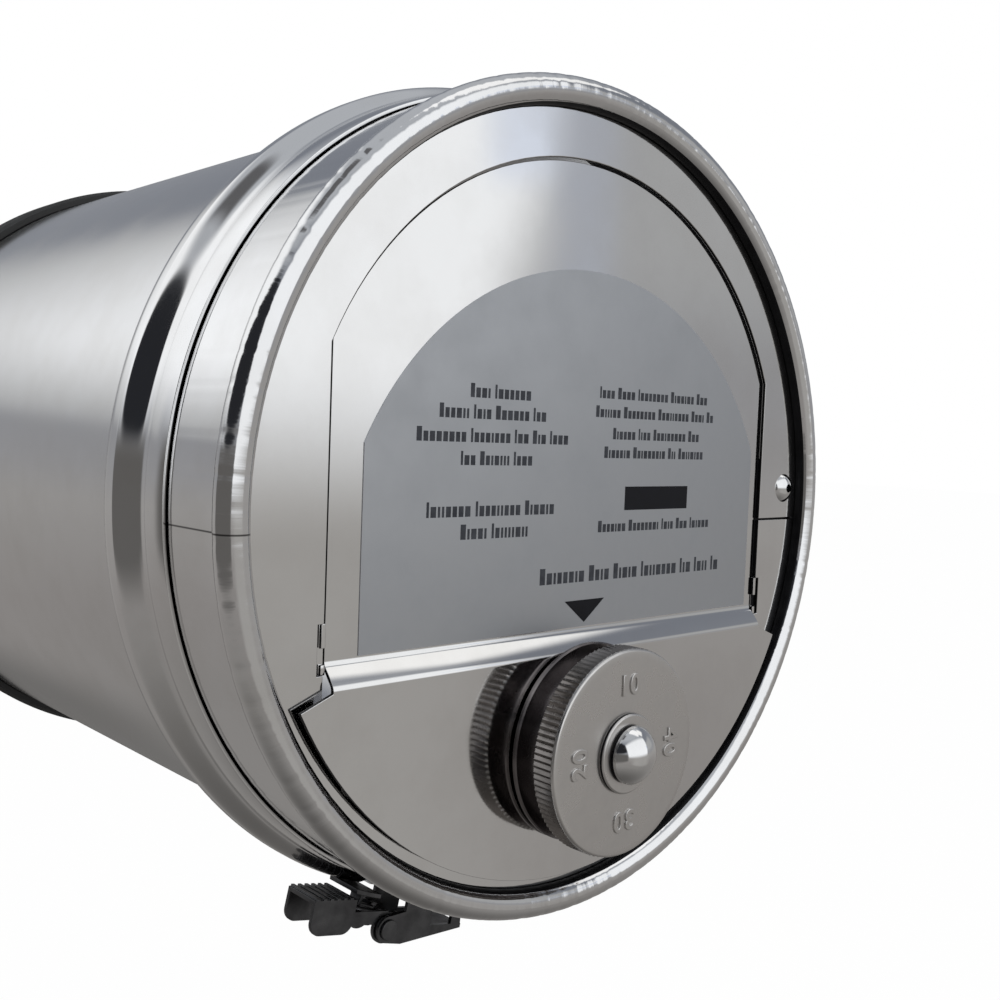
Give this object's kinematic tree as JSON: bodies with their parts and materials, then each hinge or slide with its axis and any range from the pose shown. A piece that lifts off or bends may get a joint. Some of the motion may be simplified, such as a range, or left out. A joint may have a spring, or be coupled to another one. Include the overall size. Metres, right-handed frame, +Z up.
{
  "type": "draft regulator",
  "caption": "Round stainless flue draft regulator: spigot tube, clamp band with toggle latch, and a balanced flap with a screw-adjusted counterweight knob.",
  "frame": {"origin": "centre of the spigot's open rear end", "axes": "+Y along the flue axis, out of the spigot's rear end; the face looks along -Y; +Z up; +X to the right of the face"},
  "size_m": [0.1586, 0.2327, 0.1644],
  "materials": {
    "polished_steel": "polished stainless sheet",
    "satin_steel": "satin turned steel",
    "bright_steel": "bright polished",
    "latch_steel": "dark pressed steel",
    "label_foil": "satin printed foil",
    "black_rubber": "matt black seal"
  },
  "bodies": {
    "housing": {"flue_tube": "polished_steel", "spigot_seal": "black_rubber", "regulator_body": "polished_steel", "face_plate": "polished_steel", "pivot_bracket_right": "polished_steel", "pivot_bracket_left": "polished_steel", "bracket_rivet": "bright_steel", "clamp_band": "polished_steel", "latch_base": "latch_steel", "latch_rivets": "latch_steel", "lever_pins": "latch_steel", "latch_keeper": "latch_steel"},
    "flap": {"flap_plate": "polished_steel", "pivot_pins": "bright_steel", "label_plate": "label_foil", "weight_stud": "bright_steel", "stud_nut": "bright_steel"},
    "weight_cap": {"knob_washer": "satin_steel", "knob_cap": "bright_steel"},
    "weight_dial": {"weight_knob": "satin_steel"},
    "lever": {"latch_lever": "latch_steel", "bail_pin": "latch_steel"},
    "bail": {"latch_bail": "latch_steel"}
  },
  "joints": [
    {"name": "flap_swing", "type": "hinge", "parent": "housing", "child": "flap", "pos_m": [0, -0.2098, -0.022], "axis": [-1, 0, 0], "range_deg": [0, 75]},
    {"name": "weight_travel", "type": "slide", "parent": "flap", "child": "weight_cap", "axis": [0, -1, 0], "range_m": [0, 0.0083]},
    {"name": "weight_turn", "type": "hinge", "parent": "weight_cap", "child": "weight_dial", "pos_m": [0, -0.2274, -0.0442], "axis": [0, -1, 0], "range_deg": [0, 2970]},
    {"name": "latch_lever_turn", "type": "hinge", "parent": "housing", "child": "lever", "pos_m": [-0.02794, -0.19, -0.08058], "axis": [0, -1, 0], "range_deg": [0, 110]},
    {"name": "latch_bail_turn", "type": "hinge", "parent": "lever", "child": "bail", "pos_m": [-0.02474, -0.19, -0.0805], "axis": [0, -1, 0], "range_deg": [-77.5, 0]}
  ],
  "couplings": [
    {"joint": "weight_travel", "follows": "weight_turn", "m_per_rad": 0.00015915},
    {"joint": "latch_bail_turn", "follows": "latch_lever_turn", "ratio": -0.7}
  ]
}
